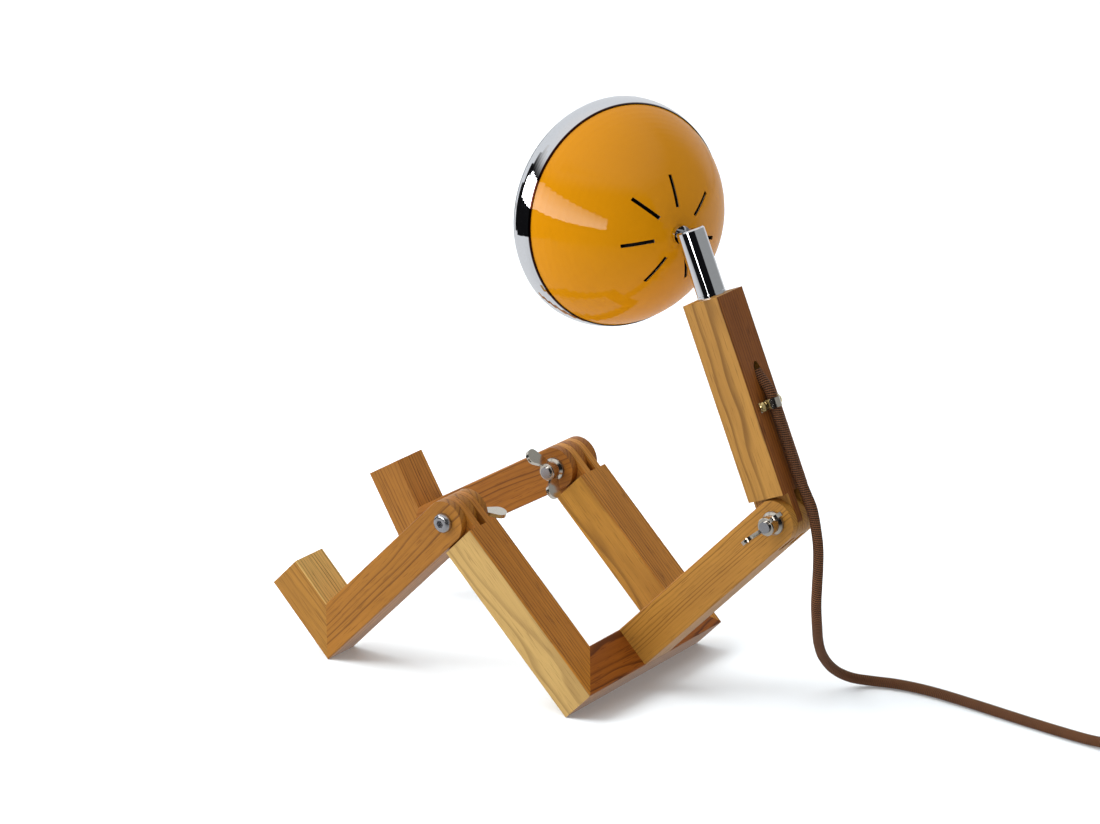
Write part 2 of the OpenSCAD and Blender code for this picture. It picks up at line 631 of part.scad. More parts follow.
module cord_run() color("saddlebrown") at_cord()
    tube(smooth(concat([for (p = route_start) torso_point(p[0], p[1])], ROUTE), 2), cord_radius);
module cord_to_coil() color("saddlebrown") at_cord() difference() {
    tube(TO_COIL, cord_radius);
    translate([coil_center[0], coil_center[1], -1])
        cylinder(r = coil_middle + 1.5 * turn_step, h = 3 * cord_diameter, $fn = 96);
}
module cord_coil() color("saddlebrown") at_cord() translate([coil_center[0], coil_center[1], 0])
    rotate_extrude() polygon([
        [coil_middle - 1.5 * turn_step, coil_floor],
        [coil_middle + 1.5 * turn_step, coil_floor],
        [coil_middle + 1.5 * turn_step, coil_floor + turn_step],
        [coil_middle + 0.5 * turn_step, coil_floor + turn_step],
        [coil_middle + 0.5 * turn_step, coil_top],
        [coil_middle - 1.5 * turn_step, coil_top]
    ]);
module cord_tail() color("saddlebrown") at_cord()
    tube([for (i = [0:12]) tail_point(i / 12)], cord_radius);
module coil_tie() color("dimgray") at_cord() translate([coil_center[0], coil_center[1], 0]) rotate(200)
    rotate_extrude(angle = 16) difference() {
        translate([coil_middle - 1.5 * turn_step - tie_wall, 0])
            square([3 * turn_step + 2 * tie_wall, coil_top + tie_wall]);
        translate([coil_middle - 1.5 * turn_step, coil_floor])
            square([3 * turn_step, coil_top - coil_floor]);
    }

// ---- Plug, lying on the coil
module at_plug() at_cord() translate(tail_point(1)) rotate(plug_angle) children();
module plug_body() color("dimgray") at_plug() difference() {
    union() {
        rotate([0, 90, 0]) cylinder(r1 = cord_radius + 1, r2 = cord_radius + 2.4, h = 10);
        hull() for (y = [-1, 1]) for (p = [[13, 5], [plug_length - 3, plug_width / 2 - 5]])
            translate([p[0], y * p[1], 0]) cylinder(r = 3, h = plug_thickness, center = true, $fn = 24);
    }
    pin_places() translate([0, 0, -pin_hold]) cylinder(r = pin_shank + fit, h = far);
}
module pin_places() for (y = [-1, 1])
    translate([plug_length, y * pin_spread / 2, 0]) rotate([0, 90, 0]) children();
module plug_pins() color("silver") at_plug() pin_places() {
    cylinder(r = pin_radius, h = pin_length);
    translate([0, 0, -pin_hold]) cylinder(r = pin_shank, h = pin_hold + 1);
}

// ---- In-line switch on the cord
module at_switch() at_cord()
    translate([switch_start[0] + switch_length / 2, switch_start[1], 0]) children();
module switch_outline(inset) hull() for (x = [-1, 1])
    translate([x * (switch_length / 2 - switch_width / 2), 0]) circle(switch_width / 2 - inset);
module cord_passage() translate([0, 0, switch_start[2]]) rotate([0, 90, 0])
    cylinder(r = cord_radius + 0.2, h = switch_length + 2, center = true);
module switch_bottom() color("saddlebrown") at_switch() difference() {
    linear_extrude(switch_start[2]) switch_outline(0);
    translate([0, 0, switch_wall]) linear_extrude(far) switch_outline(switch_wall + 4);
    cord_passage();
}
module switch_top() color("saddlebrown") at_switch() difference() {
    translate([0, 0, switch_start[2]]) linear_extrude(switch_height - switch_start[2]) switch_outline(0);
    translate([0, 0, switch_start[2] - 1]) linear_extrude(switch_height - switch_start[2] + 1 - switch_wall)
        switch_outline(switch_wall + 4);
    translate([-rocker_length / 2 - apart, -rocker_width / 2 - apart, switch_height - 3])
        cube([rocker_length + 2 * apart, rocker_width + 2 * apart, 5]);
    cord_passage();
}
rocker_z = switch_height - 3.5;
module switch_rocker() color("black") at_switch() translate([0, 0, rocker_z]) rotate([0, 7, 0])
    rotate([90, 0, 0]) translate([0, 0, -rocker_width / 2]) linear_extrude(rocker_width) difference() {
        union() {
            intersection() {
                translate([0, rocker_radius + 3.2]) difference() {
                    translate([-rocker_length / 2, -rocker_radius - 3.2]) square([rocker_length, 6.6]);
                    circle(rocker_radius);
                }
                translate([-rocker_length / 2 + 0.6, -0.5]) square([rocker_length - 1.2, 7]);
            }
            circle(1.8);
        }
        circle(0.8);
    }

hip_bar();
left_thigh();
right_thigh();
hip_dowels();
lower_torso();
spine_dowels();
left_shin();
left_foot();
left_ankle_dowels();
right_shin();
right_foot();
right_ankle_dowels();
left_knee_bolt();
left_knee_washer();
left_knee_wing_nut();
right_knee_bolt();
right_knee_washer();
right_knee_wing_nut();
waist_bolt();
waist_washer();
waist_wing_nut();
upper_torso();
cord_clip();
clip_screw();
neck_collar();
neck_tube();
neck_cap();
ball_seat();
head_stem();
stem_nut();
head_bowl();
head_ring();
lamp_holder();
bulb_base();
bulb_globe();
cord_in_torso();
cord_run();
cord_to_coil();
cord_coil();
cord_tail();
coil_tie();
plug_body();
plug_pins();
switch_bottom();
switch_top();
switch_rocker();
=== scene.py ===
# %% [markdown]
# # A robot-shaped desk lamp
#
# The lamp is a small seated figure: square limbs of oak-like wood on knuckle
# joints, a lacquered bowl for a head, a chrome neck, and a braided cord that
# leaves its back. Its pieces could be modelled here as well, but they come ready
# made, at their real size and in their real place, so that their looks and their
# joints can't disagree. This lesson gives each of them its finish, lays the cord,
# and lights the lamp in a white studio.

# %% Load the pieces
import json
import math

import bpy
import numpy as np
from mathutils import Matrix, Vector


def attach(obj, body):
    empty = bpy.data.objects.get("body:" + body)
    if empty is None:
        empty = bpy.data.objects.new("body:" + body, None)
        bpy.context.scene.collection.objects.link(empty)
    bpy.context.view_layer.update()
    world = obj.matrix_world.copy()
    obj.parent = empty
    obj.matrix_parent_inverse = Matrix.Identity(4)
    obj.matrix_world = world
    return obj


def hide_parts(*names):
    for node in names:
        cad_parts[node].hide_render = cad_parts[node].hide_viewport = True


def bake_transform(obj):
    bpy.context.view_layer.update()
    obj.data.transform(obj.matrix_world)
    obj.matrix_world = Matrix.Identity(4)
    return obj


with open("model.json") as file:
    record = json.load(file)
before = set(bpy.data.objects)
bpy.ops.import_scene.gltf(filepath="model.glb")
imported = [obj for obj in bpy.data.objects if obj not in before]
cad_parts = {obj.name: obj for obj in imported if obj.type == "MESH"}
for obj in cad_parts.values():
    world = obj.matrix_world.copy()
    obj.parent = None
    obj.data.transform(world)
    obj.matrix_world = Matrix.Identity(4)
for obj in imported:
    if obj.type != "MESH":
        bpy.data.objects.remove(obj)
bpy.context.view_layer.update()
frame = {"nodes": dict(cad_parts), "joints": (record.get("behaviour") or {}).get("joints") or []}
nodes = frame["nodes"]
joints = {joint["name"]: joint for joint in frame["joints"]}

# %% [markdown]
# ## The directions of the limbs
#
# Wood grain runs along a limb, and the bowl is round about the head's axis, so
# each part's own directions are needed before its finish. They could be read off
# the meshes. It is simpler to turn three plain axes by the slopes at which the
# lamp sits, because the parts were posed with the same slopes.

# %% Directions of the limbs
THIGH_SLOPE = 46.3
LEFT_SHIN_SLOPE = 43.1204
RIGHT_SHIN_SLOPE = 29.0
TORSO_SLOPE = 69.1
NECK_TURN = 24.0
HEAD_TILT = 18.0


def turned(axis, degrees):
    """A turn about one of the plain axes."""
    return Matrix.Rotation(math.radians(degrees), 3, axis)


hips_turn = turned("Y", THIGH_SLOPE - 90)
left_turn = turned("Y", -90 - LEFT_SHIN_SLOPE)
right_turn = turned("Y", -90 - RIGHT_SHIN_SLOPE)
torso_turn = turned("Y", TORSO_SLOPE - 90)
neck_turn = torso_turn @ turned("Z", 180 - NECK_TURN)
head_turn = neck_turn @ turned("Y", 90 - HEAD_TILT)
waist = Vector(joints["waist"]["pos_m"])
ball = Vector(joints["head_tilt"]["pos_m"])
print("torso leans along", tuple(round(x, 3) for x in torso_turn.col[2]))
print("head looks along", tuple(round(x, 3) for x in head_turn.col[2]))

# %% [markdown]
# ## The camera
#
# The lamp is seen from behind its left shoulder, a little from above, with a
# long lens that keeps the limbs nearly parallel. A camera can be aimed with a
# tracking constraint, but that can't roll it. Here its three axes are worked out
# from its line of sight and a slight roll, and written into its matrix.

# %% Camera
PLACE = Vector((1.58131, -2.16384, 1.06442))
AZIMUTH = math.radians(36.354)
ELEVATION = math.radians(18.265)
ROLL = math.radians(-2.010)
SENSOR_MM = 36
PICTURE_WIDTH = 1100     # in pixels
FOCAL_LENGTH = 4129.45   # in pixels

back = Vector((math.sin(AZIMUTH) * math.cos(ELEVATION),
               -math.cos(AZIMUTH) * math.cos(ELEVATION),
               math.sin(ELEVATION)))
level = Vector((math.cos(AZIMUTH), math.sin(AZIMUTH), 0))
right = math.cos(ROLL) * level + math.sin(ROLL) * back.cross(level)
up = back.cross(right)
camera = bpy.data.objects.new("camera", bpy.data.cameras.new("camera"))
bpy.context.scene.collection.objects.link(camera)
camera.matrix_world = Matrix((
    (right.x, up.x, back.x, PLACE.x),
    (right.y, up.y, back.y, PLACE.y),
    (right.z, up.z, back.z, PLACE.z),
    (0, 0, 0, 1)))
camera.data.sensor_width = SENSOR_MM
camera.data.lens = FOCAL_LENGTH * SENSOR_MM / PICTURE_WIDTH
camera.data.clip_end = 50
bpy.context.scene.camera = camera
print("camera at", tuple(round(x, 3) for x in camera.location), "lens", round(camera.data.lens, 1))

# %% [markdown]
# ## The cord's route
#
# A mains cord is a fixed length of something springy. This one comes out of a
# slanting hole in the torso's back, lies on the wood under a clip, arches over
# the waist and drops to the table. It then runs to a hand switch, and what is
# left is wound into a tidy coil with its plug on top. A simulation could drop it,
# but it has to meet the clip, the switch and the plug. So the route is a list of
# given points, made smooth by a curve that passes through all of them.

# %% A smooth line through points
def through(points, parts):
    """A smooth line through all the points, cut into equal shares between them."""
    line = []
    for i in range(len(points) - 1):
        a = points[max(i - 1, 0)]
        b = points[i]
        c = points[i + 1]
        d = points[min(i + 2, len(points) - 1)]
        for k in range(parts):
            u = k / parts
            line.append(0.5 * (2 * b + (c - a) * u + (2 * a - 5 * b + 4 * c - d) * u ** 2
                               + (3 * b - a - 3 * c + d) * u ** 3))
    return line + [points[-1]]


corners = [Vector((x, y, 0)) for x, y in ((0, 0), (1, 0), (1, 1), (0, 1))]
print("four corners become", len(through(corners, 6)), "points of a smooth line")

# %% Points on the torso, in mm behind and above the waist's pivot
CORD_RADIUS = 0.0035     # this one in metres, the others in mm
HALF_SECTION = 15        # half the side of a square limb
CORD_LIFT = 0.6          # air between the cord and the wood
BESIDE = HALF_SECTION + 1000 * CORD_RADIUS + CORD_LIFT
CORD_SIDE = 1.5          # the cord's plane, beside the torso's middle
TORSO_LENGTH = 153       # from the waist's pivot
HOLE_TOP = 22            # where the slanting hole starts, below the torso's top
ENTRY = 94               # where it comes out of the torso's back
BEND = 28                # radius of the cord's bend there
RELEASE = 26             # where the cord leaves the wood


def on_torso(back_mm, up_mm):
    """A point in the cord's plane, behind and above the waist's pivot."""
    return waist + torso_turn @ Vector((back_mm, CORD_SIDE, up_mm)) / 1000


lean = math.atan2(HALF_SECTION, TORSO_LENGTH - HOLE_TOP - ENTRY)
bend_low = ENTRY - (BESIDE - HALF_SECTION) / math.tan(lean) - BEND * math.tan(lean / 2)
bend = [on_torso(BESIDE - BEND * (1 - math.cos(a)), bend_low + BEND * math.sin(a))
        for a in (lean, lean * 2 / 3, lean / 3, 0)]
into_wood = torso_turn @ Vector((-math.sin(lean), 0, math.cos(lean))) / 1000
held = [bend[0] + into_wood * 10, bend[0] + into_wood * 5]      # the cord starts inside the hole
held += bend
held += [on_torso(BESIDE, z) for z in (66, 52, 39, RELEASE)]
held += [on_torso(BESIDE + 0.4, 20), on_torso(BESIDE + 1.4, 10), on_torso(BESIDE + 2, 0)]
print(len(held), "points on the torso")

# %% Points on the way down and over the table, in mm from below the waist
foot_of_waist = Vector((waist.x, waist.y, 0))
fall = [(22.6, 1.2, 136), (24.2, 0.8, 124), (24.2, 0.4, 111), (23.3, 0.3, 98), (21.8, 1.2, 83),
        (18.8, 6.6, 66.5), (12, 19, 48), (6, 34.5, 31.5), (4.4, 50.4, 17), (9, 64, 7.6),
        (20, 73.4, 4.1), (35, 78, 3.6), (52, 79.2, 3.6), (72, 78, 3.6), (98, 74.2, 3.6),
        (124, 69.8, 3.6), (150, 65.6, 3.6), (174, 62, 3.7), (194, 59.4, 4), (210, 57.8, 5.2),
        (224, 57, 6.6), (232, 57, 7), (250, 57, 7), (268, 57, 7), (280, 57, 7),
        (291, 57, 6.7), (300, 57, 5.7), (311, 56.4, 4.2)]
fall = [foot_of_waist + Vector(p) / 1000 for p in fall]
print(len(fall), "points on the way to the coil")

# %% [markdown]
# ## The coil
#
# Turns of a real coil lie beside and on each other, a diameter apart. They could
# be drawn as separate rings, but then the cord would be in pieces. Here every
# turn is a circle that steps to the next radius over a gentle stretch: first
# three turns inwards on the table, then two outwards on top of them, and the end
# climbs over the coil to the plug.

# %% Turns of the coil
STEP = 0.0071            # from one turn to the next
MIDDLE = 0.036           # the middle turn's radius
OUTER = MIDDLE + STEP
TIE_WALL = 0.0006        # the tie goes under the coil
FLOOR = TIE_WALL + CORD_RADIUS
SWITCH_START = 0.228
SWITCH_LENGTH = 0.058
SWITCH_TO_COIL = 0.034
RUN_SIDE = 0.057         # how far to the right of the waist the switch lies
INWARDS = (260, 620)     # degrees wound where a turn starts to step inwards
OUTWARDS = (1260, 1620)  # and outwards again
SIDESTEP = 100           # degrees that such a step takes
ONTO = 930               # degrees wound where the cord starts to climb onto the first layer
CLIMB = 120              # degrees that the climb takes
COILED = 1800            # degrees wound where the tail starts
TAIL = 126               # degrees from there to the plug
PLUG_RISE = 0.0071       # the tail's end above the top layer
PLUG_INWARDS = 0.0033    # and inwards of the middle turn
PARTS = 6                # short straight parts between two points of the route
coil_center = foot_of_waist + Vector(
    (SWITCH_START + SWITCH_LENGTH + SWITCH_TO_COIL, RUN_SIDE - OUTER, 0))


def ease(u):
    """A share from 0 to 1 that starts and ends softly."""
    u = min(max(u, 0.0), 1.0)
    return u * u * (3 - 2 * u)


def coil_point(wound):
    """A point of the coil after so many degrees, wound clockwise from its far side."""
    inwards = sum(ease((wound - start) / SIDESTEP) for start in INWARDS)
    outwards = sum(ease((wound - start) / SIDESTEP) for start in OUTWARDS)
    radius = OUTER - STEP * inwards + STEP * outwards
    height = FLOOR + STEP * ease((wound - ONTO) / CLIMB)
    if wound > COILED:
        u = (wound - COILED) / TAIL
        radius = OUTER - (OUTER - MIDDLE + PLUG_INWARDS) * ease((u - 0.5) / 0.5)
        top = TIE_WALL + STEP + 2 * CORD_RADIUS + PLUG_RISE
        height = FLOOR + STEP + (top - FLOOR - STEP) * ease(u / 0.95)
    a = math.radians(90 - wound)
    return coil_center + Vector((radius * math.cos(a), radius * math.sin(a), height))


coil = [coil_point(wound) for wound in range(0, COILED + TAIL + 1, 9)]
cord_path = through(held + fall, PARTS) + coil
cord_length = sum((b - a).length for a, b in zip(cord_path, cord_path[1:]))
print("cord", round(cord_length, 3), "m long")

# %% [markdown]
# ## The cord's mesh
#
# The cord is a round tube. A curve with a round bevel would draw one quickly, but
# its braid needs to know how far along the cord and how far round it each point
# lies. So a tube is swept along the route in mesh code, and every corner keeps
# both numbers as its UV. Each ring of points is carried on from the last one with
# the least possible twist.

# %% Sweep a tube
CORD_SIDES = 20


def swept(name, path, radius, sides):
    """A tube along a path, with mm along it and the share of the way round as its UVs."""
    last = len(path) - 1
    directions = [(path[min(i + 1, last)] - path[max(i - 1, 0)]).normalized()
                  for i in range(len(path))]
    side = directions[0].orthogonal().normalized()
    points = []
    along = []
    total = 0.0
    for i, (place, ahead) in enumerate(zip(path, directions)):
        side = (side - ahead * side.dot(ahead)).normalized()
        other = ahead.cross(side)
        total += (place - path[i - 1]).length if i else 0.0
        along.append(total * 1000)
        for k in range(sides):
            a = 2 * math.pi * k / sides
            points.append(place + radius * (math.cos(a) * side + math.sin(a) * other))
    faces = []
    uvs = []
    for i in range(last):
        for k in range(sides):
            j = (k + 1) % sides
            faces.append((i * sides + k, i * sides + j, (i + 1) * sides + j, (i + 1) * sides + k))
            uvs += [(along[i], k / sides), (along[i], (k + 1) / sides),
                    (along[i + 1], (k + 1) / sides), (along[i + 1], k / sides)]
    faces += [tuple(range(sides))[::-1], tuple(last * sides + k for k in range(sides))]
    uvs += [(0, 0)] * (2 * sides)
    mesh = bpy.data.meshes.new(name)
    mesh.from_pydata([tuple(p) for p in points], [], faces)
    layer = mesh.uv_layers.new(name="along_and_round")
    layer.data.foreach_set("uv", np.array(uvs, dtype=np.float32).ravel())
    mesh.polygons.foreach_set("use_smooth", [True] * len(faces))
    piece = bpy.data.objects.new(name, mesh)
    bpy.context.scene.collection.objects.link(piece)
    print(name, len(faces), "faces")
    return piece


cord = swept("mains_cord", cord_path, CORD_RADIUS, CORD_SIDES)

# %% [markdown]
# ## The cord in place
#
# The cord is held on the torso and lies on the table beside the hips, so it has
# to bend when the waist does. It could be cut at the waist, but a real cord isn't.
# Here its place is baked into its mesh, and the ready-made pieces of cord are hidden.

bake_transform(cord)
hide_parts("cord_in_torso", "cord_run", "cord_to_coil", "cord_coil", "cord_tail")

# %% [markdown]
# ## Shader maths in plain Python
#
# A procedural material is arithmetic on numbers that change over a surface. The
# nodes could be added and linked one by one, but a sum of five terms then takes
# twenty lines. This small class wraps one socket of a node tree, so that the
# arithmetic can be written as an expression: each operator adds the Math node
# that does the work.

# %% A socket that does arithmetic
class Wire:
    """A socket of a material, with the operators of ordinary arithmetic."""

    def __init__(self, tree, socket=None):
        self.tree = tree
        self.socket = socket

    def node(self, kind, settings=None, values=None, out=0):
        """Add a node: its settings first, then the values or links of its sockets."""
        made = self.tree.nodes.new(kind)
        for name, value in (settings or {}).items():
            setattr(made, name, value)
        for name, value in (values or {}).items():
            if isinstance(value, Wire):
                self.tree.links.new(value.socket, made.inputs[name])
            else:
                made.inputs[name].default_value = value
        return Wire(self.tree, made.outputs[out])

    def maths(self, operation, *values):
        """A Math node on the given values, or on this one alone."""
        return self.node("ShaderNodeMath", {"operation": operation}, dict(enumerate(values or [self])))

    def __add__(self, other):
        return self.maths("ADD", self, other)

    def __radd__(self, other):
        return self.maths("ADD", other, self)

    def __sub__(self, other):
        return self.maths("SUBTRACT", self, other)

    def __rsub__(self, other):
        return self.maths("SUBTRACT", other, self)

    def __mul__(self, other):
        return self.maths("MULTIPLY", self, other)

    def __rmul__(self, other):
        return self.maths("MULTIPLY", other, self)

    def __truediv__(self, other):
        return self.maths("DIVIDE", self, other)

    def __rtruediv__(self, other):
        return self.maths("DIVIDE", other, self)

    def __pow__(self, other):
        return self.maths("POWER", self, other)

    def __rpow__(self, other):
        return self.maths("POWER", other, self)

    def fract(self):
        """What is left after the whole part."""
        return self.maths("FRACT")

    def dot(self, direction):
        """How far this vector reaches along a direction."""
        return self.node("ShaderNodeVectorMath", {"operation": "DOT_PRODUCT"},
                         {0: self, 1: tuple(direction)}, "Value")

    def between(self, low, high):
        """0 below low, 1 above high, and a smooth rise from one to the other."""
        return self.node("ShaderNodeMapRange", {"interpolation_type": "SMOOTHSTEP"},
                         {"Value": self, "From Min": low, "From Max": high})

    def mix(self, other, share):
        """From this colour to another one by a share from 0 to 1."""
        return self.node("ShaderNodeMix", {"data_type": "RGBA"},
                         {"Factor": share, 6: self, 7: other}, 2)

    def noise(self, scale, detail=2.0, roughness=0.5):
        """Soft noise from 0 to 1 at this place."""
        return self.node("ShaderNodeTexNoise", {},
                         {"Vector": self, "Scale": scale, "Detail": detail, "Roughness": roughness})

    def bump(self, strength, distance):
        """A normal that leans as this height rises and falls."""
        return self.node("ShaderNodeBump", {},
                         {"Strength": strength, "Distance": distance, "Height": self})


print("sockets can be added, multiplied, mixed and compared")

# %% Colours
def tint(code):
    """The linear colour of an sRGB code such as "b5813f"."""
    parts = [int(code[i:i + 2], 16) / 255 for i in (0, 2, 4)]
    return (*[c / 12.92 if c <= 0.04045 else ((c + 0.055) / 1.055) ** 2.4 for c in parts], 1.0)


def shaded(code, by):
    """A colour that many times as bright, red falling least when it darkens."""
    r, g, b, _ = tint(code)
    return (r * by ** 0.85, g * by, b * by ** 1.1, 1.0)


def blended(share, one, other):
    """From one fixed colour to another by a share that varies."""
    return share.node("ShaderNodeMix", {"data_type": "RGBA"}, {"Factor": share, 6: one, 7: other}, 2)


print("a warm brown is", tuple(round(c, 3) for c in tint("b5813f")))

# %% Materials
def finish(name, fixed=None):
    """A new material, the start of its wires, and its shader with the sockets that never vary."""
    material = bpy.data.materials.new(name)
    material.use_nodes = True
    shader = material.node_tree.nodes["Principled BSDF"]
    for socket, value in (fixed or {}).items():
        shader.inputs[socket].default_value = value
    return material, Wire(material.node_tree), shader


def feed(shader, **changing):
    """Link wires to the shader's sockets, named with _ for a space."""
    for socket, wire in changing.items():
        wire.tree.links.new(wire.socket, shader.inputs[socket.replace("_", " ")])


def cover(material, *names):
    """Give pieces, or nodes by name, this one material."""
    for name in names:
        piece = nodes[name] if isinstance(name, str) else name
        piece.data.materials.clear()
        piece.data.materials.append(material)


print("material helpers ready")

# %% [markdown]
# ## Timber
#
# The limbs are sawn from a ring-porous wood. Its grain is the tree's growth
# rings cut lengthwise: a few soft, wandering lines where a face lies along the
# rings, and many fine straight ones where it cuts across them. Stripes painted on
# each face wouldn't meet at the edges. So the material measures how far each
# point lies from the tree's heart, which is beside the limb, and darkens where a
# ring ends. Short pores follow the same direction. One face of each limb has a
# colour of its own, browner on most limbs: partly the wood's own tone, and partly
# painted light and shade for how that face is lit.

# %% Reach of a piece
def reach_of(name, direction):
    """How far the piece reaches in a direction, in mm from the origin."""
    return max(v.co.dot(direction) for v in nodes[name].data.vertices) * 1000


print("the hip bar reaches", round(reach_of("hip_bar", Vector((0, 1, 0))), 1), "mm to the right")

# %% The timber material
SWAY = 8                 # how far a ring wanders, in mm
KNUCKLE = 31             # length of a knuckle, from the limb's end to its shoulders, in mm
LATEWOOD = (0.55, 0.9)   # where in a year's growth the dark line starts, and is darkest
YEAR_END = (0.92, 1.0)   # where it stops again
SHADE_TONED_FACE = (14.0, 14.5)  # mm above the limb's middle, where the face with its own tone and painted light and shade starts


def timber(name, grain, top, heart, seed, spacing, side, face, knuckles=False):
    """Wood with its grain along one direction, and a face towards another whose own colour is partly
    painted light and shade.
    """
    grain = Vector(grain)
    top = Vector(top)
    across = top.cross(grain)
    material, start, shader = finish("timber_" + name, {"IOR": 1.45, "Specular IOR Level": 0.28})
    place = start.node("ShaderNodeTexCoord", out="Object")
    along = place.dot(grain * 1000)
    high = place.dot(top * 1000) - (reach_of(name, top) - HALF_SECTION)
    wide = place.dot(across * 1000) - (reach_of(name, across) - HALF_SECTION)

    def stretched(along_scale, across_scale, detail, roughness=0.5):
        """Noise drawn out along the grain, with its scales per mm."""
        drawn = start.node("ShaderNodeCombineXYZ", {}, {
            0: along * along_scale + seed,
            1: high * across_scale,
            2: wide * across_scale + seed})
        return drawn.noise(1.0, detail, roughness)

    from_heart = ((high - heart[0]) ** 2.0 + (wide - heart[1]) ** 2.0) ** 0.5
    radius = from_heart + stretched(0.007, 0.03, 2.0) * SWAY
    year = (radius / spacing + stretched(0.004, 0.02, 1.0) * 3).fract()
    ring = year.between(*LATEWOOD) - year.between(*YEAR_END)
    good_years = start.node("ShaderNodeCombineXYZ", {}, {0: radius * 0.16 + seed}).noise(1.0, 2.0)
    fibre = stretched(0.035, 1.1, 3.0, 0.6)
    pores = stretched(0.05, 1.2, 2.0, 0.6).between(0.58, 0.68)
    cloud = stretched(0.008, 0.05, 2.0)
    on_shade_toned_face = high.between(*SHADE_TONED_FACE)
    if knuckles:
        shoulder = reach_of(name, grain) - KNUCKLE
        on_shade_toned_face = on_shade_toned_face.maths("MAXIMUM", on_shade_toned_face, along.between(shoulder - 0.5, shoulder))

    tone = (fibre * 0.55 + cloud * 0.75 - 0.15).between(0.2, 0.8)
    side_wood = blended(tone, shaded(side, 1.16), shaded(side, 0.86))
    # That face's colour is partly the wood's own tone and partly painted light and shade.
    face_wood_and_shade = blended(tone, shaded(face, 1.22), shaded(face, 0.74))
    wood = side_wood.mix(face_wood_and_shade, on_shade_toned_face)
    line = blended(on_shade_toned_face, shaded(side, 0.1 + 0.9 * tint(side)[1]), shaded(face, 0.22))
    ringed = wood.mix(line, ring * good_years.between(0.34, 0.62) * (0.72 + on_shade_toned_face * 0.1))
    feed(shader,
         Base_Color=ringed.mix(line, pores * (0.5 + on_shade_toned_face * 0.2)),
         Roughness=0.47 - fibre * 0.12 + pores * 0.1,
         Normal=(fibre * 0.3 - pores * 0.5 - ring * 0.2).bump(0.2, 0.0003))
    return material


print("timber is ready to be cut")

# %% Cut the limbs
hips_x = hips_turn.col[0]
hips_z = hips_turn.col[2]
# Each limb has its grain and the face with its own colour, then the tree's heart beside it, a seed and
# the width of a year's growth, in mm, and then the colours of its sides and of that face, which is
# partly painted light and shade.
timbers = {
    "hip_bar": ((0, 1, 0), hips_x, (-80, 30), 1.3, 1.9, "a86e2a", "9d5819"),
    "left_thigh": (hips_z, hips_x, (6, 74), 2.7, 2.6, "cca764", "c4812e"),
    "right_thigh": (hips_z, hips_x, (-4, -66), 9.1, 2.6, "c48c35", "c68534"),
    "lower_torso": (hips_x, hips_z, (52, 50), 4.4, 1.7, "bb8436", "b57a34"),
    "left_shin": (left_turn.col[2], -left_turn.col[0], (-58, -56), 5.9, 3.2, "aa7025", "a8702c"),
    "left_foot": (left_turn.col[0], -left_turn.col[2], (-30, -60), 6.2, 2.2, "b17c30", "e4b869"),
    "right_shin": (right_turn.col[2], -right_turn.col[0], (56, 50), 7.7, 3.0, "a36520", "a36520"),
    "right_foot": (right_turn.col[0], -right_turn.col[2], (46, -52), 8.3, 2.4, "ab7127", "c48337"),
    "upper_torso": (torso_turn.col[2], torso_turn.col[0], (10, 62), 3.1, 2.6, "ba873d", "90541e"),
}
for limb, facts in timbers.items():
    cover(timber(limb, *facts, knuckles=limb.endswith("thigh")), limb)
print(len(timbers), "limbs in timber")

# %% Cut the dowels
dowel_grains = {
    "hip_dowels": hips_z,
    "spine_dowels": hips_x,
    "left_ankle_dowels": left_turn.col[2],
    "right_ankle_dowels": right_turn.col[2],
}
for dowels, grain in dowel_grains.items():
    cover(timber(dowels, grain, (0, 1, 0), (40, 60), 1.0, 2.0, "d9bd8f", "d9bd8f"), dowels)
print(len(dowel_grains), "sets of dowels in pale timber")

# %% [markdown]
# ## Lacquer
#
# The bowl is sprayed with a mustard lacquer under a clear coat, on its outside
# only. Inside it is matt white, as a reflector is. It is one thin shell, so two
# materials would need its faces sorted. Instead the material knows the shell's
# curve: a point outside the middle of the wall is lacquered, one well inside is
# white, and the cut sides of a vent between them are dark with painted shade.

# %% The lacquered bowl
SHELL_POWER = 1.63       # the curve of the bowl's outline
BOWL_RADIUS = 77.7       # all in mm
BOWL_DEPTH = 78.6
BOWL_WALL = 1.2
BOWL_FLAT = 16.2         # from the ball to the flat that the stem holds
FLAT_CUT = 0.94          # what the flat takes off the bowl's curve
WALL_RADIUS = BOWL_RADIUS - BOWL_WALL / 2
WALL_DEPTH = BOWL_DEPTH - BOWL_WALL / 2
WALL_START = round(BOWL_FLAT - FLAT_CUT + BOWL_WALL / 2, 1)


def head_axes(place):
    """Two distances across the head's axis and the depth along it, in mm from the ball."""
    return [place.dot(head_turn.col[i] * 1000) - ball.dot(head_turn.col[i]) * 1000 for i in range(3)]


